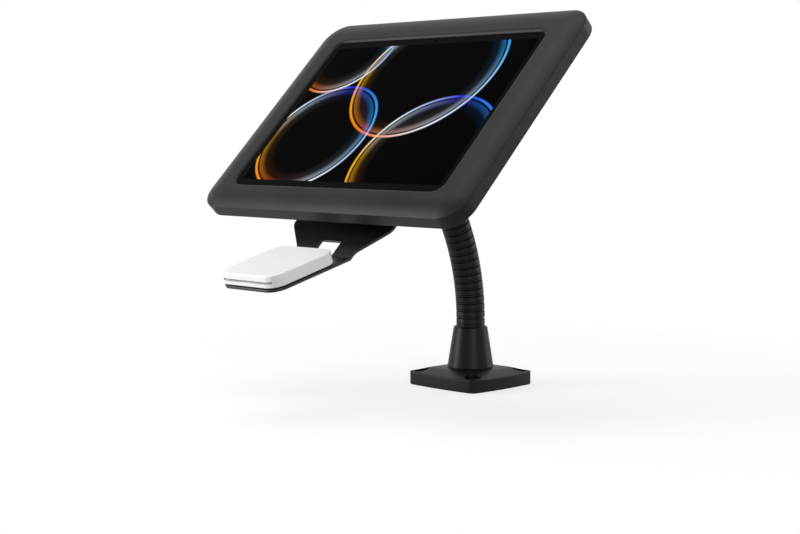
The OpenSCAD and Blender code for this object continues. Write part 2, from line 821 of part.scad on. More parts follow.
// Ledge on the left wall that a hook of the frame reaches under
module hook_ledge(v) {
    foot = hook_foot_z + catch_gap;
    wall_mid = (shell_w - shell_wall) / 2;
    inner = hook_u + catch_t + ledge_clear;
    translate([-wall_mid, v - hook_w / 2, foot]) cube([wall_mid - inner, hook_w, ledge_t]);
}

module front_frame() color(charcoal) at_head() {
    difference() {
        edged_block(shell_w, shell_h, shell_corner_r, z_part, frame_rise)
            crowned_section(shell_corner_r, frame_round_w, frame_round_r, z_part, frame_rise);
        edged_block(shell_w, shell_h, shell_corner_r, z_part - cut, 0)
            crowned_section(shell_corner_r, frame_round_w, frame_round_r - frame_rise, z_part - cut, 0);
        below_centre() window_cutter();
    }
    lock_catch();
    for (v = [-hook_v, hook_v]) frame_hook(v);
}

// Opening over the glass, with its edge rounded over to the face
module window_cutter() {
    top_r = window_corner_r + window_round_w;
    rounded_slab(window_w, window_h, window_corner_r, -cut, frame_rise + cut);
    swept_edge(window_w + 2 * window_round_w, window_h + 2 * window_round_w, top_r) difference() {
        translate([window_corner_r, 0]) square([window_round_w, frame_rise + cut]);
        translate([top_r, frame_rise - window_round_r]) circle(window_round_r, $fn = 96);
        translate([top_r, 0]) square([cut, frame_rise + 2 * cut]);
    }
}

// Arm beside the tablet, behind the cam's tip, with a foot that the cam holds down
module lock_catch() {
    near = lock_barrel_r + catch_near;
    far = cam_l + catch_far + catch_t;
    foot = hook_foot_z - catch_t;
    inner = min(lock_u - catch_w / 2, catch_u);
    outer = max(lock_u + catch_w / 2, catch_u + catch_w);
    translate([catch_u, far - catch_t, foot]) cube([catch_w, catch_t, -foot]);
    translate([inner, near, foot]) cube([outer - inner, far - near, catch_t]);
}

// Arm with a foot that reaches outwards under a ledge of the rear shell
module frame_hook(v) {
    foot = hook_foot_z - catch_t;
    translate([-hook_u - catch_t, v - hook_w / 2, foot]) cube([catch_t, hook_w, -foot]);
    translate([-hook_u - hook_foot, v - hook_w / 2, foot]) cube([hook_foot, hook_w, catch_t]);
}

module support_pads() color(foam) at_tablet()
    for (x = [-1, 1], y = [-1, 1]) translate([x * pad_u - pad_w / 2, y * pad_v - pad_h / 2, z_floor])
        cube([pad_w, pad_h, z_tablet_back - z_floor]);

// Tablet

module tablet_housing() color(tablet_metal) at_tablet() difference() {
    rounded_slab(tablet_w, tablet_h, tablet_corner_r, z_tablet_back, -glass_t);
    rounded_slab(tablet_w - 2 * tablet_wall, tablet_h - 2 * tablet_wall, tablet_corner_r - tablet_wall,
        z_cells_back, -glass_t + cut);
    power_button_place(button_proud + cut) tablet_button_slot();
    for (u = volume_button_u) volume_button_place(u, button_proud + cut) tablet_button_slot();
}

module tablet_button_slot() {
    pill(button_l + 2 * button_gap, button_h + 2 * button_gap, button_proud + tablet_wall + 3 * cut);
}

module tablet_button() {
    pill(button_l, button_h, button_proud + tablet_wall + button_inside);
}

module power_button_place(proud) {
    translate([tablet_w / 2 + proud, power_button_v, tablet_button_z]) rotate([0, -90, 0]) rotate(90)
        children();
}

module volume_button_place(u, proud) {
    translate([u, tablet_h / 2 + proud, tablet_button_z]) rotate([90, 0, 0]) children();
}

module power_button() color(tablet_metal) at_tablet() power_button_place(button_proud) tablet_button();

module volume_button(i) {
    color(tablet_metal) at_tablet() volume_button_place(volume_button_u[i], button_proud) tablet_button();
}

module tablet_glass() color(glass_black) at_tablet()
    rounded_slab(tablet_w, tablet_h, tablet_corner_r, -glass_t, 0);

module display_panel() color(panel_black) at_tablet()
    rounded_slab(display_w, display_h, display_corner_r, -glass_t - display_t, -glass_t);

module tablet_battery() color(cell_grey) at_tablet()
    translate([-battery_w / 2, -battery_drop - battery_h / 2, z_cells_back])
        cube([battery_w, battery_h, z_cells_top - z_cells_back]);

module tablet_board() color(board_green) at_tablet()
    translate([-board_w / 2, board_v - board_h / 2, z_cells_back])
        cube([board_w, board_h, z_cells_top - z_cells_back]);

module front_camera() color(glass_black) at_tablet()
    translate([0, camera_v, z_cells_back]) cylinder(r = camera_r, h = -glass_t - z_cells_back);

// Lock

module lock_body() color(bright_steel) at_lock() difference() {
    union() {
        translate([0, 0, z_back - lock_head_t]) cylinder(r = lock_flange_r, h = lock_head_t);
        translate([0, 0, z_back]) cylinder(r = lock_barrel_r, h = lock_barrel_top - z_back);
    }
    translate([0, 0, z_back - lock_head_t - cut])
        cylinder(r = lock_plug_r + fit_gap, h = lock_barrel_top - z_back + lock_head_t + 2 * cut);
}

module lock_nut() color(bright_steel) at_lock()
    translate([0, 0, z_floor]) hex_nut(lock_nut_flats, lock_barrel_r + fit_gap, lock_nut_t);

module lock_plug() color(brass) at_lock() {
    difference() {
        translate([0, 0, z_back - lock_head_t]) cylinder(r = lock_plug_r, h = cam_z - z_back + lock_head_t);
        translate([0, 0, z_back - lock_head_t - cut]) linear_extrude(height = key_slot_h + cut)
            square([key_slot_w, 1.2 * lock_plug_r], center = true);
    }
    translate([-tang_w / 2, -tang_w / 2, cam_z]) cube([tang_w, tang_w, cam_t]);
}

// Flat lever on the plug's square end, pointing at the catch when locked
module lock_cam() color(bright_steel) at_lock() {
    hole = tang_w + 2 * fit_gap;
    translate([0, 0, cam_z]) difference() {
        union() {
            cylinder(d = cam_w, h = cam_t);
            translate([-cam_w / 2, 0, 0]) cube([cam_w, cam_l, cam_t]);
        }
        translate([-hole / 2, -hole / 2, -cut]) cube([hole, hole, cam_t + 2 * cut]);
    }
}

base_plate();
base_collar();
neck_lower_fitting();
base_washer();
base_nut();
collar_grub_screw();
for (k = [1 : link_n]) {
    neck_link(k);
}
head_collar();
head_plate();
flange_screws();
plate_screws();
plate_inserts();
reader_bracket();
reader_pad();
reader_bottom_shell();
reader_top_shell();
reader_board();
reader_battery();
reader_usb_socket();
reader_button();
rear_shell();
front_frame();
support_pads();
tablet_housing();
tablet_glass();
display_panel();
tablet_battery();
tablet_board();
front_camera();
power_button();
volume_button(0);  // volume_up_button
volume_button(1);  // volume_down_button
lock_body();
lock_nut();
lock_plug();
lock_cam();
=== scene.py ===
import json
import math

import bmesh
import bpy
from mathutils import Matrix, Vector


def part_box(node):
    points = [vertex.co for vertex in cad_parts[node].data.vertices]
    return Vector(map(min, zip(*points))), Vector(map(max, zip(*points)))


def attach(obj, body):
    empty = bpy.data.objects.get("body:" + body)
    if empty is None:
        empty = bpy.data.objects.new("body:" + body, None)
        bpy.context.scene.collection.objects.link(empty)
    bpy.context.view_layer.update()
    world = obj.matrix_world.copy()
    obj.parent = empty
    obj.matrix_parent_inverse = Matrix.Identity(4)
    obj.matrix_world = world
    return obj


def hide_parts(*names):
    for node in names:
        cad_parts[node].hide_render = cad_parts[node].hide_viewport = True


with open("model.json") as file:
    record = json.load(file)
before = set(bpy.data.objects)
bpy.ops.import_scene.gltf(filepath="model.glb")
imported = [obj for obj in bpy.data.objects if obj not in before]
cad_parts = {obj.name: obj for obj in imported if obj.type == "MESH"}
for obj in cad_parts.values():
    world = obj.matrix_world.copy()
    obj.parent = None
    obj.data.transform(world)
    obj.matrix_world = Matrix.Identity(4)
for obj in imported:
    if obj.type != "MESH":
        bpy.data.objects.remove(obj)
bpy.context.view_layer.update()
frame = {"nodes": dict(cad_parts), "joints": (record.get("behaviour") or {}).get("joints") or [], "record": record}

# Studio
# A pale painted floor under a white backdrop, with soft boxes left, right, behind and overhead.
# The camera stands off the front right corner, as high as the screen's lower half, with a long lens.
scene = bpy.context.scene
scene.view_settings.view_transform = "Standard"

camera_fall = math.radians(5.037)
camera_turn = math.radians(45.138)
camera_data = bpy.data.cameras.new("camera")
camera_data.sensor_width = 36.0
camera_data.lens = 69.63
camera = bpy.data.objects.new("camera", camera_data)
camera.location = (0.912, -0.995, 0.222)
camera.rotation_euler = (math.pi / 2 - camera_fall, 0, camera_turn)
scene.collection.objects.link(camera)
scene.camera = camera


def linear(hex_colour):
    """Turns an sRGB hex colour into linear red, green, blue and alpha."""
    channels = [int(hex_colour[i:i + 2], 16) / 255 for i in (1, 3, 5)]
    return [c / 12.92 if c <= 0.04045 else ((c + 0.055) / 1.055) ** 2.4 for c in channels] + [1.0]


def add(tree, kind, inputs=None, stops=(), **settings):
    """Adds a node with its settings; an input is a value or another node's output, and stops fill a ramp."""
    node = tree.nodes.new(kind)
    for name, value in settings.items():
        setattr(node, name, value)
    for socket, value in (inputs or {}).items():
        if isinstance(value, bpy.types.NodeSocket):
            tree.links.new(value, node.inputs[socket])
        else:
            node.inputs[socket].default_value = value
    for index, (position, colour) in enumerate(stops):
        ramp = node.color_ramp.elements
        stop = ramp[index] if index < len(ramp) else ramp.new(position)
        stop.position = position
        stop.color = linear(colour)
    return node


def seen_directly(tree):
    """An output that is 1 for what the camera sees, also in a reflection or through glass."""
    path = add(tree, "ShaderNodeLightPath")
    seen = path.outputs["Is Camera Ray"]
    for kind in ("Is Glossy Ray", "Is Transmission Ray"):
        seen = add(tree, "ShaderNodeMath", {0: seen, 1: path.outputs[kind]}, operation="MAXIMUM").outputs[0]
    return seen


def empty_material(name):
    """A material without nodes, and its tree."""
    material = bpy.data.materials.new(name)
    material.use_nodes = True
    material.node_tree.nodes.clear()
    return material, material.node_tree


# Matt emulsion paint: what falls on it is scattered evenly, so only a soft shadow shows.
# It fades into the white backdrop a step away from the object.
floor_r = 0.5
floor_steps = 96
floor_drop = 0.0003
fade_from = 0.26
fade_to = 0.48
floor_paint, tree = empty_material("matt_floor_paint")
place = add(tree, "ShaderNodeTexCoord").outputs["Object"]
reach = add(tree, "ShaderNodeVectorMath", {0: place}, operation="LENGTH")
fade = add(tree, "ShaderNodeMapRange", {
    "Value": reach.outputs["Value"], "From Min": fade_from, "From Max": fade_to,
}, interpolation_type="SMOOTHSTEP")
bounce = add(tree, "ShaderNodeBsdfDiffuse", {"Color": linear("#707070")})
shade = add(tree, "ShaderNodeBsdfDiffuse", {"Color": linear("#9c9c9c")})
glow = add(tree, "ShaderNodeEmission", {"Color": linear("#ffffff"), "Strength": 0.72})
near = add(tree, "ShaderNodeAddShader", {0: shade.outputs[0], 1: glow.outputs[0]})
far = add(tree, "ShaderNodeEmission", {"Color": linear("#ffffff"), "Strength": 1.0})
faded = add(tree, "ShaderNodeMixShader", {0: fade.outputs[0], 1: near.outputs[0], 2: far.outputs[0]})
either = add(tree, "ShaderNodeMixShader", {
    0: seen_directly(tree), 1: bounce.outputs[0], 2: faded.outputs[0],
})
add(tree, "ShaderNodeOutputMaterial", {"Surface": either.outputs[0]})

bm = bmesh.new()
bmesh.ops.create_circle(bm, cap_ends=True, segments=floor_steps, radius=floor_r,
                        matrix=Matrix.Translation((0, 0, -floor_drop)))
floor_mesh = bpy.data.meshes.new("studio_floor")
bm.to_mesh(floor_mesh)
bm.free()
floor_mesh.materials.append(floor_paint)
floor = bpy.data.objects.new("studio_floor", floor_mesh)
scene.collection.objects.link(floor)

world = bpy.data.worlds.new("studio_backdrop")
scene.world = world
world.use_nodes = True
tree = world.node_tree
tree.nodes.clear()
room_light = add(tree, "ShaderNodeBackground", {"Color": linear("#ffffff"), "Strength": 0.28})
backdrop = add(tree, "ShaderNodeBackground", {"Color": linear("#ffffff"), "Strength": 1.0})
either = add(tree, "ShaderNodeMixShader", {
    0: seen_directly(tree), 1: room_light.outputs[0], 2: backdrop.outputs[0],
})
add(tree, "ShaderNodeOutputWorld", {"Surface": either.outputs[0]})

# Each soft box has a place, a width and a height in metres, and its watts. All face the part's middle.
lit_point = Vector((0.0, -0.08, 0.2))
soft_boxes = [
    ("left_box", (-1.12, -1.34, 0.36), 0.5, 1.5, 31.0),
    ("right_box", (1.52, -0.85, 0.45), 0.5, 1.4, 10.5),
    ("rim_box", (0.86, 1.52, 0.15), 0.35, 1.6, 8.0),
    ("top_box", (-0.3, -0.3, 2.0), 1.2, 1.2, 12.5),
]
for name, stand, width, height, watts in soft_boxes:
    lamp_data = bpy.data.lights.new(name, "AREA")
    lamp_data.shape = "RECTANGLE"
    lamp_data.size = width
    lamp_data.size_y = height
    lamp_data.energy = watts
    lamp = bpy.data.objects.new(name, lamp_data)
    lamp.location = stand
    lamp.rotation_euler = (lit_point - Vector(stand)).to_track_quat("-Z", "Y").to_euler()
    scene.collection.objects.link(lamp)

# Base casting
# A square base cast in steel, with a counterbored hole at each corner and a top that swells to the collar.
# It is powder coated in satin black after machining, which rounds every edge a little.
MM = 0.001
MERGE = 1e-6
flat_angle = math.radians(0.4)
sharp_angle = math.radians(35)
shade_angle = math.radians(42)
edge_steps = 3


def whole_faces(node):
    """A copy of a CAD node with its triangles joined into whole faces."""
    bm = bmesh.new()
    bm.from_mesh(frame["nodes"][node].data)
    bmesh.ops.remove_doubles(bm, verts=bm.verts, dist=MERGE)
    bmesh.ops.dissolve_limit(bm, angle_limit=flat_angle, verts=bm.verts, edges=bm.edges)
    return bm


def round_edges(bm, radius, picked=lambda middle: True):
    """Rounds the sharp outer edges of a mesh, or those whose middles are picked."""
    sharp = [e for e in bm.edges if e.is_convex and e.calc_face_angle() > sharp_angle
             and picked((e.verts[0].co + e.verts[1].co) / 2)]
    bmesh.ops.bevel(bm, geom=sharp, offset=radius, offset_type="OFFSET", segments=edge_steps, profile=0.5,
                    affect="EDGES", clamp_overlap=False, material=-1)


def softened(node, radius):
    """A copy of a CAD node with all its sharp outer edges rounded."""
    bm = whole_faces(node)
    round_edges(bm, radius)
    return bm


def make_piece(name, bm, material, slot, body, *nodes):
    """Makes a smooth piece that rides on a body and stands for CAD nodes."""
    bmesh.ops.remove_doubles(bm, verts=bm.verts, dist=MERGE)
    mesh = bpy.data.meshes.new(name)
    bm.to_mesh(mesh)
    bm.free()
    mesh.shade_smooth()
    mesh.set_sharp_from_angle(angle=shade_angle)
    mesh.materials.append(material)
    piece = bpy.data.objects.new(name, mesh)
    scene.collection.objects.link(piece)
    flat_faces = piece.modifiers.new("flat_faces", "WEIGHTED_NORMAL")
    flat_faces.keep_sharp = True
    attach(piece, body)
    if nodes:
        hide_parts(*nodes)


coat_cloud = 60 * MM
peel_depth = 0.12 * MM
sheen_swing = 0.06


def powder_coat(name, dark, light, grain, roughness, specular):
    """Baked powder paint: a fine orange-peel skin with slightly lighter specks of a given grain."""
    material, tree = empty_material(name)
    place = add(tree, "ShaderNodeTexCoord").outputs["Object"]
    specks = add(tree, "ShaderNodeTexNoise", {"Vector": place, "Scale": 1 / grain, "Detail": 3.0})
    clouds = add(tree, "ShaderNodeTexNoise", {"Vector": place, "Scale": 1 / coat_cloud, "Detail": 2.0})
    both = add(tree, "ShaderNodeMix", {
        "Factor": 0.25, "A": specks.outputs["Fac"], "B": clouds.outputs["Fac"],
    })
    tint = add(tree, "ShaderNodeValToRGB", {"Fac": both.outputs[0]}, [(0.36, dark), (0.64, light)])
    sheen = add(tree, "ShaderNodeMapRange", {
        "Value": specks.outputs["Fac"], "From Min": 0.3, "From Max": 0.7,
        "To Min": roughness - sheen_swing, "To Max": roughness + sheen_swing,
    })
    peel = add(tree, "ShaderNodeBump", {
        "Height": specks.outputs["Fac"], "Strength": 0.28, "Distance": peel_depth,
    })
    skin = add(tree, "ShaderNodeBsdfPrincipled", {
        "Base Color": tint.outputs[0], "Roughness": sheen.outputs[0],
        "Specular IOR Level": specular, "Normal": peel.outputs[0],
    })
    add(tree, "ShaderNodeOutputMaterial", {"Surface": skin.outputs[0]})
    return material


# Satin black keeps a low, soft sheen, and its peel breaks up each highlight a little.
# The grain is drawn about twice its real size, so that it shows from a step away.
stand_grain = 0.9 * MM
satin_black = powder_coat("satin_black_powder_coat", "#050606", "#0b0c0c", stand_grain, 0.4, 0.14)
rim_edge = 0.7 * MM
hole_edge = 0.2 * MM
rim_from = 37.5 * MM


def on_rim(middle):
    """Says whether a point of the base lies on its outline, outside the corner holes."""
    return max(abs(middle.x), abs(middle.y)) > rim_from


bm = whole_faces("base_plate")
round_edges(bm, rim_edge, on_rim)
round_edges(bm, hole_edge, lambda middle: not on_rim(middle))
make_piece("base_casting", bm, satin_black, "powder_black", "base", "base_plate")

# Tapered collar and its grub screw
# A turned steel sleeve hides the foot of the neck and is coated like the base.
# It stands on the base's swelling and is locked by a plated grub screw from behind.
collar_edge = 0.15 * MM
make_piece("collar_sleeve", softened("base_collar", collar_edge), satin_black, "powder_black", "base",
           "base_collar")

# Tool marks are drawn several times their real size, so that they show on small screws.
tool_mark = 0.8 * MM
mark_swing = 0.08


def turned_metal(name, dark, light, roughness):
    """Bare metal with the fine marks of its making, from a lathe, a press or a blast of grit."""
    material, tree = empty_material(name)
    place = add(tree, "ShaderNodeTexCoord").outputs["Object"]
    marks = add(tree, "ShaderNodeTexNoise", {"Vector": place, "Scale": 1 / tool_mark, "Detail": 4.0})
    tint = add(tree, "ShaderNodeValToRGB", {"Fac": marks.outputs["Fac"]}, [(0.3, dark), (0.7, light)])
    gloss = add(tree, "ShaderNodeMapRange", {
        "Value": marks.outputs["Fac"], "To Min": roughness - mark_swing, "To Max": roughness + mark_swing,
    })
    skin = add(tree, "ShaderNodeBsdfPrincipled", {
        "Base Color": tint.outputs[0], "Roughness": gloss.outputs[0], "Metallic": 1.0,
    })
    add(tree, "ShaderNodeOutputMaterial", {"Surface": skin.outputs[0]})
    return material


# Zinc plate is a pale, slightly dull mirror, which catches the room in small bright spots.
plain_steel = turned_metal("zinc_plated_steel", "#8d9093", "#b4b7ba", 0.34)
fastener_edge = 0.2 * MM
make_piece("grub_screw", softened("collar_grub_screw", fastener_edge), plain_steel, "steel", "base",
           "collar_grub_screw")

# Stud, washer and nut under the base
# The hollow stud of the neck is turned from steel, coated black and put down through the base.
# A wide stamped washer and a hexagon nut, both zinc plated, clamp it in the recess below.
make_piece("clamp_stud", softened("neck_lower_fitting", fastener_edge), satin_black, "powder_black", "base",
           "neck_lower_fitting")
for name, node in (("clamp_washer", "base_washer"), ("clamp_nut", "base_nut")):
    make_piece(name, softened(node, fastener_edge), plain_steel, "steel", "base", node)

# Rings of the neck
# Each ring is a short steel band with a ball above and a socket below, so that the neck bends smoothly.
# The bands are turned with a fine lip at the foot and coated black, and a groove stays open between them.
neck_pivots = [Vector(j["pos_m"]) for j in frame["joints"] if j["name"].startswith("neck_")]
ring_pitch = (neck_pivots[1] - neck_pivots[0]).length / MM
neck_pivots.insert(0, neck_pivots[0] - Vector((0, 0, ring_pitch * MM)))
screen_normal = next(Vector(j["axis"]) for j in frame["joints"] if j["name"] == "lock_turn")
ring_count = len(neck_pivots)
ring_steps = 72
corner_steps = 5
sphere_steps = 6

# The sizes of a ring are in millimetres, and it is scaled to metres where it is put in its place.
band_r = 12.5
band_foot = 0.48
band_edge = 0.3
lip_z = band_foot + 1.2
lip_gap = 0.5
lip_depth = 0.25
bore_r = 6.0
ball_r = 10.5
ball_rise = 3.4
socket_r = 10.75
socket_depth = 4.4


def spun(profile, rounded):
    """Turns a closed profile of radius and height about Z; rounded gives a radius to some of its corners."""
    bm = bmesh.new()
    corners = [bm.verts.new((r, 0, z)) for r, z in profile]
    for a, b in zip(corners, corners[1:] + corners[:1]):
        bm.edges.new((a, b))
    for index, radius in rounded.items():
        bmesh.ops.bevel(bm, geom=[corners[index]], offset=radius, offset_type="OFFSET",
                        segments=corner_steps, profile=0.5, affect="VERTICES", material=-1)
    bmesh.ops.spin(bm, geom=bm.verts[:] + bm.edges[:], cent=(0, 0, 0), axis=(0, 0, 1), dvec=(0, 0, 0),
                   angle=2 * math.pi, steps=ring_steps, use_merge=True)
    bmesh.ops.remove_doubles(bm, verts=bm.verts, dist=MERGE)
    bmesh.ops.recalc_face_normals(bm, faces=bm.faces)
    return bm


def sphere_edge(radius, centre, low, high):
    """Points on a sphere's outline between two heights."""
    heights = [low + (high - low) * i / sphere_steps for i in range(sphere_steps + 1)]
    return [(math.sqrt(radius ** 2 - (z - centre) ** 2), z) for z in heights]


ring_profile = [(band_r, band_foot), (band_r, lip_z), (band_r - lip_depth, lip_z + lip_gap / 2),
                (band_r, lip_z + lip_gap), (band_r, ring_pitch - band_foot)]
ring_profile += sphere_edge(ball_r, ring_pitch, ring_pitch - band_foot, ring_pitch + ball_rise)
ring_profile += [(bore_r, ring_pitch + ball_rise), (bore_r, socket_depth)]
ring_profile += sphere_edge(socket_r, 0, socket_depth, band_foot)
for number, foot in enumerate(neck_pivots, 1):
    way = neck_pivots[number] - foot if number < ring_count else screen_normal
    lean = math.atan2(-way.y, way.z)
    bm = spun(ring_profile, {0: band_edge, 4: band_edge})
    leaning = Matrix.Translation(foot) @ Matrix.Rotation(lean, 4, "X")
    bmesh.ops.transform(bm, verts=bm.verts, matrix=leaning @ Matrix.Scale(MM, 4))
    body = {1: "base", ring_count: "head"}.get(number, f"link_{number:02d}")
    make_piece(f"neck_band_{number:02d}", bm, satin_black, "powder_black", body, f"neck_link_{number:02d}")

# Head of the neck
# A flanged collar grips the last ring and is screwed to a square plate from the front.
# Four socket screws hold the plate and the bracket to the back of the enclosure.
plate_edge = 0.4 * MM
for name, node in (("flange_collar", "head_collar"), ("square_plate", "head_plate")):
    make_piece(name, softened(node, plate_edge), satin_black, "powder_black", "head", node)
make_piece("socket_screws", softened("plate_screws", fastener_edge), plain_steel, "steel", "head",
           "plate_screws")

# Reader bracket
# One steel sheet, laser cut and bent once, with a cable opening across the bend.
# The plate's four screws clamp it behind the enclosure, and its tray carries the card reader.

# The coat flows out smoother on flat sheet, so it shines more than on the base.
bracket_black = powder_coat("bracket_black_powder_coat", "#050606", "#0b0c0c", stand_grain, 0.34, 0.38)
sheet_edge = 0.35 * MM
make_piece("bent_bracket", softened("reader_bracket", sheet_edge), bracket_black, "powder_black", "head",
           "reader_bracket")

# Card reader
# Two shells moulded in white ABS meet at a seam, and the card slot opens just below it.
# A pad under the lower shell glues the reader to the bracket's tray.

# The mould's texture is drawn several times its real size, so that it shows from a step away.
mould_grain = 0.7 * MM
mould_depth = 0.05 * MM
mould_swing = 0.05


def moulded_plastic(name, dark, light, roughness):
    """Plastic with a fine, even texture, from a mould or as it sets in a foam, a lacquer or a film."""
    material, tree = empty_material(name)
    place = add(tree, "ShaderNodeTexCoord").outputs["Object"]
    texture = add(tree, "ShaderNodeTexNoise", {"Vector": place, "Scale": 1 / mould_grain, "Detail": 2.0})
    tint = add(tree, "ShaderNodeValToRGB", {"Fac": texture.outputs["Fac"]}, [(0.35, dark), (0.65, light)])
    gloss = add(tree, "ShaderNodeMapRange", {
        "Value": texture.outputs["Fac"],
        "To Min": roughness - mould_swing, "To Max": roughness + mould_swing,
    })
    grain = add(tree, "ShaderNodeBump", {
        "Height": texture.outputs["Fac"], "Strength": 0.08, "Distance": mould_depth,
    })
    skin = add(tree, "ShaderNodeBsdfPrincipled", {
        "Base Color": tint.outputs[0], "Roughness": gloss.outputs[0],
        "Specular IOR Level": 0.4, "Normal": grain.outputs[0],
    })
    add(tree, "ShaderNodeOutputMaterial", {"Surface": skin.outputs[0]})
    return material


# White ABS scatters light evenly, so it stays a soft white without a sharp highlight.
white_abs = moulded_plastic("white_moulded_abs", "#ebecec", "#f3f3f3", 0.42)
upper_half = frame["nodes"]["reader_top_shell"].data
reader_up = max(upper_half.polygons, key=lambda face: face.area).normal.copy()
reader_up *= math.copysign(1, reader_up.z)
reader_back = reader_up.cross(Vector((1, 0, 0)))
seam = min(v.co.dot(reader_up) for v in upper_half.vertices)
front = min(v.co.dot(reader_back) for v in upper_half.vertices)
shell_edge = 0.12 * MM

# The lower half keeps sharp edges at its back, where the charging opening leaves no room for a rounding.
rounded_depth = 60 * MM
bm = whole_faces("reader_bottom_shell")
round_edges(bm, shell_edge, lambda middle: middle.dot(reader_back) < front + rounded_depth)
make_piece("reader_lower_half", bm, white_abs, "white_plastic", "head", "reader_bottom_shell")
make_piece("reader_upper_half", softened("reader_top_shell", shell_edge), white_abs, "white_plastic", "head",
           "reader_top_shell")

# The card is led in by a sloped sill, which stands on the lower half's wall and follows its rounded corners.
reader_half = max(v.co.x for v in upper_half.vertices)
reader_corner_r = 12 * MM
slot_half = 28.6 * MM
slot_h = 2.2 * MM
sill_tip = 0.3 * MM
sill_seat = 0.02 * MM
sill_depth = 4.4 * MM
sill_rise = 0.77 * MM
sill_t = 0.35 * MM
wall_back = 1.55 * MM
sill_steps = 8
sill_profile = [(sill_tip, sill_seat), (wall_back, sill_seat), (sill_depth, sill_rise - sill_t),
                (sill_depth, sill_rise)]
corner_x = reader_half - reader_corner_r
bm = bmesh.new()
section = [bm.verts.new((0, back, rise)) for back, rise in sill_profile]
edges = [bm.edges.new(pair) for pair in zip(section, section[1:] + section[:1])]
straight = bmesh.ops.extrude_edge_only(bm, edges=edges)["geom"]
end = [g for g in straight if not isinstance(g, bmesh.types.BMFace)]
bmesh.ops.translate(bm, verts=[g for g in end if isinstance(g, bmesh.types.BMVert)], vec=(corner_x, 0, 0))
sweep = math.asin((slot_half - corner_x) / reader_corner_r)
swept = bmesh.ops.spin(bm, geom=end, cent=(corner_x, reader_corner_r, 0), axis=(0, 0, 1), dvec=(0, 0, 0),
                       angle=sweep, steps=sill_steps)["geom_last"]
bmesh.ops.edgeloop_fill(bm, edges=[g for g in swept if isinstance(g, bmesh.types.BMEdge)])
bmesh.ops.mirror(bm, geom=bm.verts[:] + bm.edges[:] + bm.faces[:], axis="X", merge_dist=MERGE)
bmesh.ops.recalc_face_normals(bm, faces=bm.faces)
turned = Matrix((Vector((1, 0, 0)), reader_back, reader_up)).transposed().to_4x4()
bmesh.ops.transform(bm, verts=bm.verts,
                    matrix=Matrix.Translation(reader_back * front + reader_up * (seam - slot_h)) @ turned)
make_piece("card_sill", bm, white_abs, "white_plastic", "head")

make_piece("reader_key", softened("reader_button", fastener_edge), white_abs, "white_plastic",
           "reader_button", "reader_button")
socket_edge = 0.1 * MM
make_piece("charging_socket", softened("reader_usb_socket", socket_edge), plain_steel, "steel", "head",
           "reader_usb_socket")

# Enclosure
# A die-cast rear shell and a front frame that hooks into it on the left and is locked on the right.
# Both are aluminium with a charcoal powder coat, whose grain is coarser and paler than the stand's.

# Pale specks on near black read as dark grey from a step away, and as a fine grain close by.
enclosure_grain = 1.0 * MM
charcoal = powder_coat("charcoal_powder_coat", "#0a0b0b", "#1f2020", enclosure_grain, 0.4, 0.125)
shell_corner_edge = 0.25 * MM
make_piece("cast_rear_shell", softened("rear_shell", shell_corner_edge), charcoal, "powder_charcoal", "head",
           "rear_shell")
frame_edge = 0.25 * MM
make_piece("cast_front_frame", softened("front_frame", frame_edge), charcoal, "powder_charcoal", "head",
           "front_frame")

# Lock
# A cam lock sits in the back of the rear shell, near its right edge, and is held by a nut inside.
# Its barrel is plated steel, and its plug is turned from brass, with a slot for the key.

# Bare brass is a warm yellow mirror, dulled a little by the tool marks.
turned_brass = turned_metal("turned_brass", "#8f7136", "#b8954f", 0.32)
make_piece("lock_barrel", softened("lock_body", fastener_edge), plain_steel, "steel", "head", "lock_body")
plug_edge = 0.1 * MM
make_piece("lock_key_plug", softened("lock_plug", plug_edge), turned_brass, "brass", "lock", "lock_plug")

# Tablet
# A cover glass with a black printed border lies over the display, flush in a blasted aluminium housing.
# The frame's lip holds it down, and its screen shows broad overlapping rings of light on black.
glass_low, glass_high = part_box("tablet_glass")
glass_t = 0.8 * MM
screen_centre = (glass_low + glass_high) / 2 + screen_normal * glass_t / 2
screen_tilt = math.atan2(-screen_normal.y, screen_normal.z)
display_half = (116.4 * MM, 80.2 * MM)
lens_v = 83.5 * MM
lens_r = 1.9 * MM

# Each ring of light has a centre, from the middle of the screen, and a radius.
light_rings = [
    ((-62 * MM, -30 * MM), 58 * MM),
    ((18 * MM, 46 * MM), 74 * MM),
    ((74 * MM, -52 * MM), 66 * MM),
    ((-96 * MM, 74 * MM), 48 * MM),
]
ring_glow = 17 * MM
ring_line = 3 * MM
ring_shades = [(0.0, "#000000"), (0.45, "#272727"), (0.74, "#959595"), (0.79, "#272727"), (0.84, "#000000"),
               (0.89, "#ffffff"), (0.96, "#e1e1e1"), (1.0, "#000000")]
ring_tints = [(0.0, "#ffc21a"), (0.2, "#ff7a14"), (0.34, "#f3f8ff"), (0.55, "#3fb4ff"), (0.75, "#2030e0"),
              (0.9, "#e8f6ff"), (1.0, "#ffc21a")]
black = linear("#000000")
smear_size = 35 * MM

# A colour Mix node has its factor, its two colours and its result at these places.
mix_factor, mix_a, mix_b, mix_result = 0, 6, 7, 2

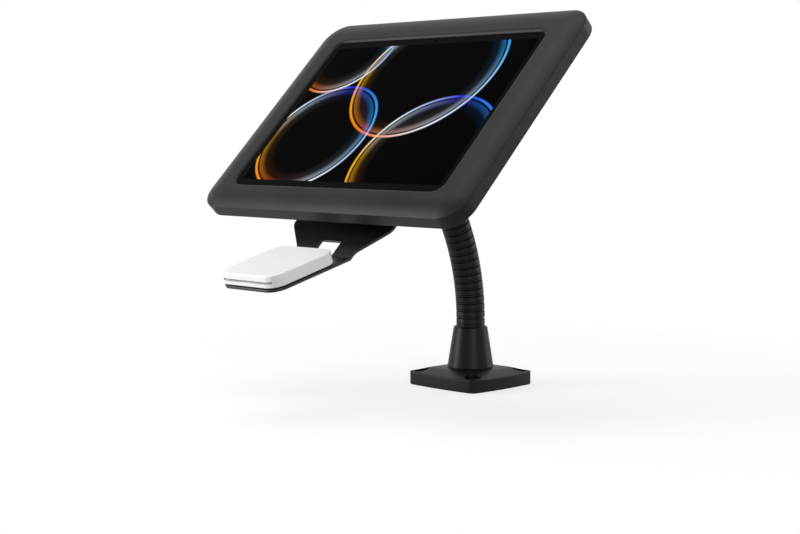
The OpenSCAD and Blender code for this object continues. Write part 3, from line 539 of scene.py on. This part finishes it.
# Coated cover glass hardly mirrors the room, so the border is an even black and the picture stays clear.
# The picture is drawn from the screen's centre, in the plane of the glass.
cover_glass, tree = empty_material("printed_cover_glass")
place = add(tree, "ShaderNodeTexCoord").outputs["Object"]
on_screen = add(tree, "ShaderNodeMapping", {
    "Vector": place, "Location": screen_centre, "Rotation": (screen_tilt, 0, 0),
}, vector_type="TEXTURE")
picture = black
for centre, radius in light_rings:
    away = add(tree, "ShaderNodeVectorMath", {0: on_screen.outputs[0], 1: (*centre, 0)},
               operation="SUBTRACT")
    reach = add(tree, "ShaderNodeVectorMath", {0: away.outputs[0]}, operation="LENGTH")
    depth = add(tree, "ShaderNodeMapRange", {
        "Value": reach.outputs["Value"], "From Min": radius - ring_glow, "From Max": radius + ring_line,
    })
    bright = add(tree, "ShaderNodeValToRGB", {"Fac": depth.outputs[0]}, ring_shades)
    parts = add(tree, "ShaderNodeSeparateXYZ", {0: away.outputs[0]})
    turn = add(tree, "ShaderNodeMath", {0: parts.outputs["Y"], 1: parts.outputs["X"]}, operation="ARCTAN2")
    share = add(tree, "ShaderNodeMapRange", {
        "Value": turn.outputs[0], "From Min": -math.pi, "From Max": math.pi,
    })
    hue = add(tree, "ShaderNodeValToRGB", {"Fac": share.outputs[0]}, ring_tints)
    ring = add(tree, "ShaderNodeMix", {mix_factor: 1.0, mix_a: bright.outputs[0], mix_b: hue.outputs[0]},
               data_type="RGBA", blend_type="MULTIPLY")
    lighter = add(tree, "ShaderNodeMix", {mix_factor: 1.0, mix_a: picture, mix_b: ring.outputs[mix_result]},
                  data_type="RGBA", blend_type="LIGHTEN")
    picture = lighter.outputs[mix_result]
axes = add(tree, "ShaderNodeSeparateXYZ", {0: on_screen.outputs[0]})
inside = []
for axis, half in zip("XY", display_half):
    size = add(tree, "ShaderNodeMath", {0: axes.outputs[axis]}, operation="ABSOLUTE")
    within = add(tree, "ShaderNodeMath", {0: size.outputs[0], 1: half}, operation="LESS_THAN")
    inside.append(within.outputs[0])
lit = add(tree, "ShaderNodeMath", {0: inside[0], 1: inside[1]}, operation="MULTIPLY")
from_lens = add(tree, "ShaderNodeVectorMath", {0: on_screen.outputs[0], 1: (0, lens_v, 0)},
                operation="DISTANCE")
on_lens = add(tree, "ShaderNodeMath", {0: from_lens.outputs["Value"], 1: lens_r}, operation="LESS_THAN")
bare = add(tree, "ShaderNodeMath", {0: lit.outputs[0], 1: on_lens.outputs[0]}, operation="MAXIMUM")
shown = add(tree, "ShaderNodeMix", {
    mix_factor: lit.outputs[0], mix_a: black, mix_b: picture,
}, data_type="RGBA")
border = add(tree, "ShaderNodeMix", {
    mix_factor: bare.outputs[0], mix_a: linear("#101010"), mix_b: linear("#030303"),
}, data_type="RGBA")
smear = add(tree, "ShaderNodeTexNoise", {"Vector": place, "Scale": 1 / smear_size, "Detail": 3.0})
gloss = add(tree, "ShaderNodeMapRange", {"Value": smear.outputs["Fac"], "To Min": 0.04, "To Max": 0.12})
skin = add(tree, "ShaderNodeBsdfPrincipled", {
    "Base Color": border.outputs[mix_result], "Roughness": gloss.outputs[0], "Specular IOR Level": 0.003,
    "Emission Color": shown.outputs[mix_result], "Emission Strength": 1.0,
})
add(tree, "ShaderNodeOutputMaterial", {"Surface": skin.outputs[0]})
glass_edge = 0.25 * MM
make_piece("screen_glass", softened("tablet_glass", glass_edge), cover_glass, "cover_glass", "head",
           "tablet_glass")

# Inner pieces
# What the shells hide keeps its CAD shape: pads, inserts, boards, batteries and the tablet's housing.
# Pads and batteries are glued down, and the brass inserts are pressed into the rear shell's posts.

# Closed-cell foam is dull and dark, with hardly any highlight.
foam = moulded_plastic("closed_cell_foam", "#333335", "#434346", 0.85)
# Solder mask is a glossy green lacquer over the board.
board_green = moulded_plastic("solder_mask", "#274f35", "#336444", 0.35)
# Battery film is a smooth grey wrap with a low shine.
battery_wrap = moulded_plastic("battery_film", "#55575a", "#626468", 0.5)
# Blasted aluminium scatters its shine into an even grey.
blasted_aluminium = turned_metal("blasted_aluminium", "#67696c", "#76787b", 0.5)
# The display's top film is a smooth near-black.
display_film = moulded_plastic("display_film", "#0e0f12", "#16171b", 0.3)
finishes = {
    "powder_black": satin_black,
    "powder_charcoal": charcoal,
    "steel": plain_steel,
    "brass": turned_brass,
    "foam": foam,
    "white_plastic": white_abs,
    "circuit_board": board_green,
    "battery_wrap": battery_wrap,
    "tablet_metal": blasted_aluminium,
    "cover_glass": display_film,
    "display": display_film,
}
for part in frame["record"]["subparts"]:
    materials = frame["nodes"][part["node"]].data.materials
    materials.clear()
    materials.append(finishes[part["material_slot"]])
